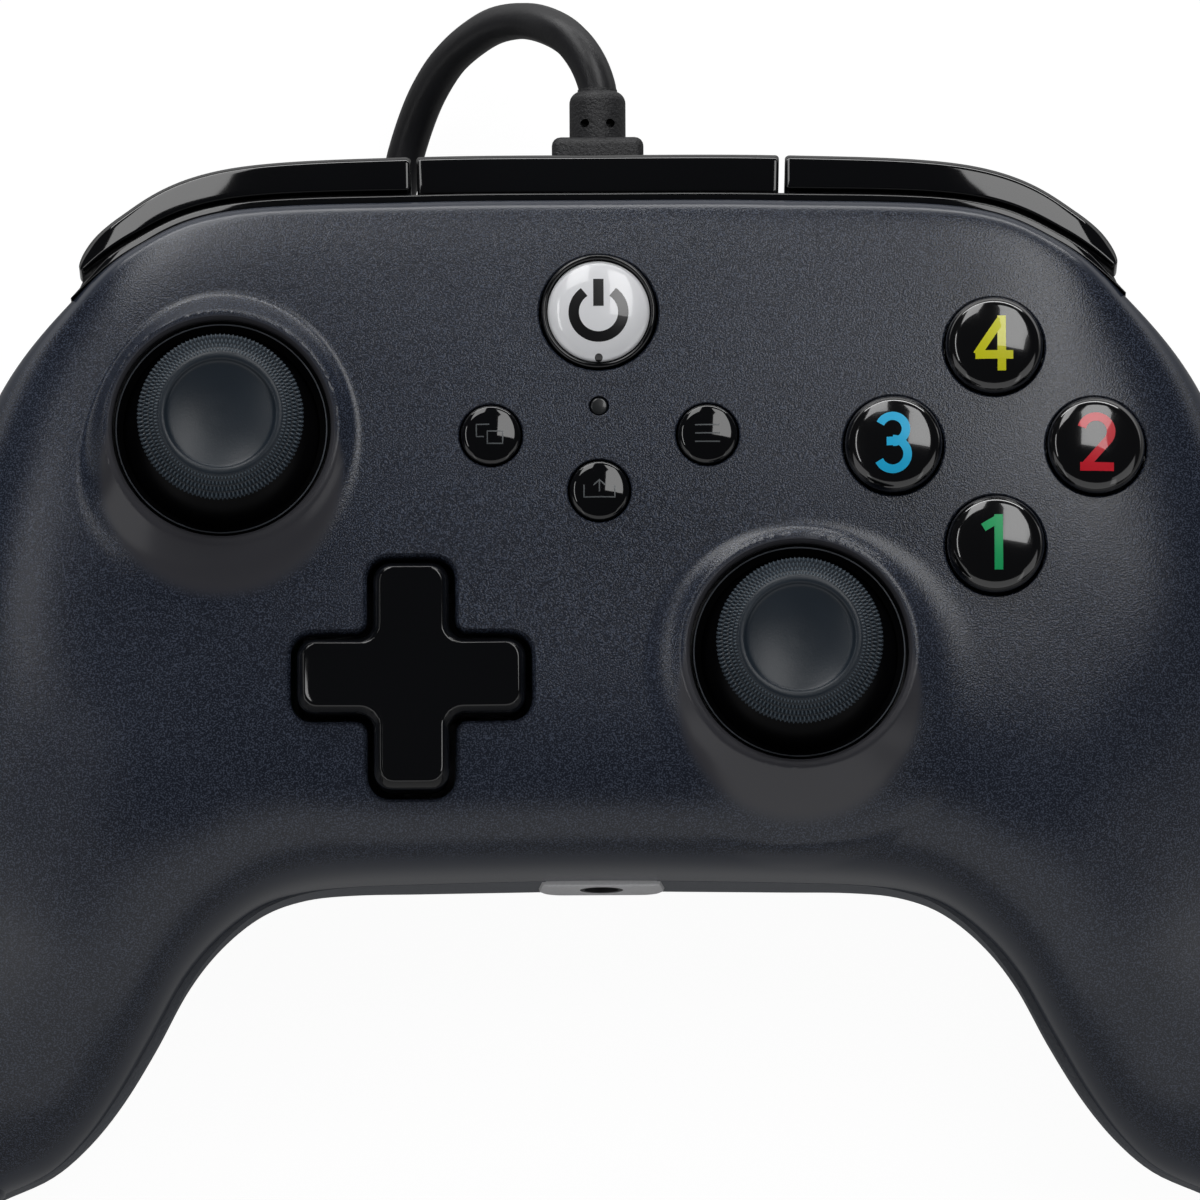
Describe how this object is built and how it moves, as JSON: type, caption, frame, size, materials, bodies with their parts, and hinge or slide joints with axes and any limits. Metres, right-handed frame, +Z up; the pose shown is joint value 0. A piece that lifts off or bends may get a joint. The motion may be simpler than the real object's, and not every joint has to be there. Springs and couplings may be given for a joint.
{
  "type": "wired game controller",
  "caption": "Wired game controller with two thumb sticks, cross pad, domed face buttons, bumpers, triggers, rumble motors, headset socket and a coiled cord with a plug.",
  "frame": {"origin": "on the table under the middle of the controller, cord left out", "axes": "+X to the player's right, +Y away from the player toward the bumpers, +Z up out of the face"},
  "size_m": [0.2526, 0.1244, 0.0563],
  "materials": {
    "face_plastic": "fine-grained satin, slate grey",
    "back_plastic": "fine-grained satin, a little lighter grey",
    "gloss_black": "polished black",
    "trigger_plastic": "satin black",
    "inner_plastic": "moulded black",
    "smoked_plastic": "smoked lens",
    "button_yellow": "clear black dome with a yellow mark",
    "button_green": "clear black dome with a green mark",
    "button_red": "clear black dome with a red mark",
    "button_blue": "clear black dome with a blue mark",
    "home_white": "translucent white",
    "cap_rubber": "matt dark grey",
    "membrane_rubber": "soft grey",
    "yoke_plastic": "natural nylon",
    "board": "green solder mask on laminate",
    "steel": "plain",
    "plug_metal": "nickel plated",
    "cord_jacket": "satin black jacket"
  },
  "bodies": {
    "housing": {"front_shell": "face_plastic", "back_shell": "back_plastic", "top_trim": "gloss_black", "bumper_bridge": "gloss_black", "bumper_pins": "steel", "trigger_brackets": "inner_plastic", "trigger_pins": "steel", "left_trigger_spring": "steel", "right_trigger_spring": "steel", "status_light": "smoked_plastic", "button_membrane": "membrane_rubber", "pad_carrier": "inner_plastic", "pad_membrane": "membrane_rubber", "stick_rings": "gloss_black", "left_stick_base": "steel", "left_stick_spring": "steel", "right_stick_base": "steel", "right_stick_spring": "steel", "stick_sensors": "inner_plastic", "main_board": "board", "switches": "inner_plastic", "headset_socket": "inner_plastic", "left_motor": "steel", "right_motor": "steel", "shell_screws": "steel", "strain_relief": "cord_jacket", "cord": "cord_jacket", "cord_coil": "cord_jacket", "cord_tie": "inner_plastic", "plug_body": "cord_jacket", "plug_shell": "plug_metal"},
    "left_bumper": {"left_bumper": "gloss_black"},
    "left_trigger": {"left_trigger": "trigger_plastic"},
    "left_stick_carrier": {"left_stick_carrier": "inner_plastic"},
    "left_stick_yoke": {"left_stick_yoke": "yoke_plastic"},
    "left_stick": {"left_stick_shaft": "inner_plastic", "left_stick_dome": "gloss_black", "left_stick_cap": "cap_rubber"},
    "left_stick_sensor_yoke": {"left_stick_sensor_yoke": "yoke_plastic"},
    "left_weight": {"left_weight": "steel"},
    "right_bumper": {"right_bumper": "gloss_black"},
    "right_trigger": {"right_trigger": "trigger_plastic"},
    "right_stick_carrier": {"right_stick_carrier": "inner_plastic"},
    "right_stick_yoke": {"right_stick_yoke": "yoke_plastic"},
    "right_stick": {"right_stick_shaft": "inner_plastic", "right_stick_dome": "gloss_black", "right_stick_cap": "cap_rubber"},
    "right_stick_sensor_yoke": {"right_stick_sensor_yoke": "yoke_plastic"},
    "right_weight": {"right_weight": "steel"},
    "button_north": {"button_north": "button_yellow"},
    "button_south": {"button_south": "button_green"},
    "button_east": {"button_east": "button_red"},
    "button_west": {"button_west": "button_blue"},
    "home_button": {"home_button": "home_white"},
    "view_button": {"view_button": "gloss_black"},
    "menu_button": {"menu_button": "gloss_black"},
    "share_button": {"share_button": "gloss_black"},
    "pad_spider": {"pad_spider": "steel"},
    "cross_pad": {"cross_pad": "gloss_black"}
  },
  "joints": [
    {"name": "left_bumper_press", "type": "hinge", "parent": "housing", "child": "left_bumper", "pos_m": [-0.02114, 0.04883, 0.036], "axis": [0, 0, 1], "range_deg": [0, 0.9], "stiffness_Nm_per_rad": 3, "springref_deg": -0.57},
    {"name": "left_trigger_pull", "type": "hinge", "parent": "housing", "child": "left_trigger", "pos_m": [-0.038, 0.0355, 0.025], "axis": [1, 0, 0], "range_deg": [-18, 0], "stiffness_Nm_per_rad": 0.06, "springref_deg": 28.65, "deforming": ["left_trigger_spring"]},
    {"name": "left_stick_click", "type": "slide", "parent": "housing", "child": "left_stick_carrier", "axis": [0, 0, -1], "range_m": [0, 0.0005], "stiffness_N_per_m": 4000, "springref_m": -0.0006, "deforming": ["left_stick_spring"]},
    {"name": "left_stick_tilt_x", "type": "hinge", "parent": "left_stick_carrier", "child": "left_stick_yoke", "pos_m": [-0.038, 0.022, 0.035], "axis": [1, 0, 0], "range_deg": [-18, 18], "stiffness_Nm_per_rad": 0.05},
    {"name": "left_stick_tilt_y", "type": "hinge", "parent": "left_stick_yoke", "child": "left_stick", "pos_m": [-0.038, 0.022, 0.035], "axis": [0, 1, 0], "range_deg": [-18, 18], "stiffness_Nm_per_rad": 0.05},
    {"name": "left_stick_sense_y", "type": "hinge", "parent": "housing", "child": "left_stick_sensor_yoke", "pos_m": [-0.038, 0.022, 0.035], "axis": [0, 1, 0], "range_deg": [-18, 18]},
    {"name": "left_rumble_spin", "type": "hinge", "parent": "housing", "child": "left_weight", "pos_m": [-0.057, -0.018, 0.0128], "axis": [0, 0, 1], "continuous": true},
    {"name": "right_bumper_press", "type": "hinge", "parent": "housing", "child": "right_bumper", "pos_m": [0.02114, 0.04883, 0.036], "axis": [0, 0, 1], "range_deg": [-0.9, 0], "stiffness_Nm_per_rad": 3, "springref_deg": 0.57},
    {"name": "right_trigger_pull", "type": "hinge", "parent": "housing", "child": "right_trigger", "pos_m": [0.038, 0.0355, 0.025], "axis": [1, 0, 0], "range_deg": [-18, 0], "stiffness_Nm_per_rad": 0.06, "springref_deg": 28.65, "deforming": ["right_trigger_spring"]},
    {"name": "right_stick_click", "type": "slide", "parent": "housing", "child": "right_stick_carrier", "axis": [0, 0, -1], "range_m": [0, 0.0005], "stiffness_N_per_m": 4000, "springref_m": -0.0006, "deforming": ["right_stick_spring"]},
    {"name": "right_stick_tilt_x", "type": "hinge", "parent": "right_stick_carrier", "child": "right_stick_yoke", "pos_m": [0.02, -0.001, 0.035], "axis": [1, 0, 0], "range_deg": [-18, 18], "stiffness_Nm_per_rad": 0.05},
    {"name": "right_stick_tilt_y", "type": "hinge", "parent": "right_stick_yoke", "child": "right_stick", "pos_m": [0.02, -0.001, 0.035], "axis": [0, 1, 0], "range_deg": [-18, 18], "stiffness_Nm_per_rad": 0.05},
    {"name": "right_stick_sense_y", "type": "hinge", "parent": "housing", "child": "right_stick_sensor_yoke", "pos_m": [0.02, -0.001, 0.035], "axis": [0, 1, 0], "range_deg": [-18, 18]},
    {"name": "right_rumble_spin", "type": "hinge", "parent": "housing", "child": "right_weight", "pos_m": [0.057, -0.018, 0.0128], "axis": [0, 0, 1], "continuous": true},
    {"name": "button_north_press", "type": "slide", "parent": "housing", "child": "button_north", "axis": [0, 0, -1], "range_m": [0, 0.0013], "stiffness_N_per_m": 350, "springref_m": -0.0015},
    {"name": "button_south_press", "type": "slide", "parent": "housing", "child": "button_south", "axis": [0, 0, -1], "range_m": [0, 0.0013], "stiffness_N_per_m": 350, "springref_m": -0.0015},
    {"name": "button_east_press", "type": "slide", "parent": "housing", "child": "button_east", "axis": [0, 0, -1], "range_m": [0, 0.0013], "stiffness_N_per_m": 350, "springref_m": -0.0015},
    {"name": "button_west_press", "type": "slide", "parent": "housing", "child": "button_west", "axis": [0, 0, -1], "range_m": [0, 0.0013], "stiffness_N_per_m": 350, "springref_m": -0.0015},
    {"name": "home_button_press", "type": "slide", "parent": "housing", "child": "home_button", "axis": [0, 0, -1], "range_m": [0, 0.0008], "stiffness_N_per_m": 350, "springref_m": -0.0015},
    {"name": "view_button_press", "type": "slide", "parent": "housing", "child": "view_button", "axis": [0, 0, -1], "range_m": [0, 0.0008], "stiffness_N_per_m": 350, "springref_m": -0.0015},
    {"name": "menu_button_press", "type": "slide", "parent": "housing", "child": "menu_button", "axis": [0, 0, -1], "range_m": [0, 0.0008], "stiffness_N_per_m": 350, "springref_m": -0.0015},
    {"name": "share_button_press", "type": "slide", "parent": "housing", "child": "share_button", "axis": [0, 0, -1], "range_m": [0, 0.0008], "stiffness_N_per_m": 350, "springref_m": -0.0015},
    {"name": "pad_tilt_x", "type": "hinge", "parent": "housing", "child": "pad_spider", "pos_m": [-0.019, -0.0033, 0.0405], "axis": [1, 0, 0], "range_deg": [-5, 5], "stiffness_Nm_per_rad": 0.3},
    {"name": "pad_tilt_y", "type": "hinge", "parent": "pad_spider", "child": "cross_pad", "pos_m": [-0.019, -0.0033, 0.0405], "axis": [0, 1, 0], "range_deg": [-5, 5], "stiffness_Nm_per_rad": 0.3}
  ],
  "couplings": [
    {"joint": "left_stick_sense_y", "follows": "left_stick_tilt_y", "ratio": 1},
    {"joint": "right_stick_sense_y", "follows": "right_stick_tilt_y", "ratio": 1}
  ]
}
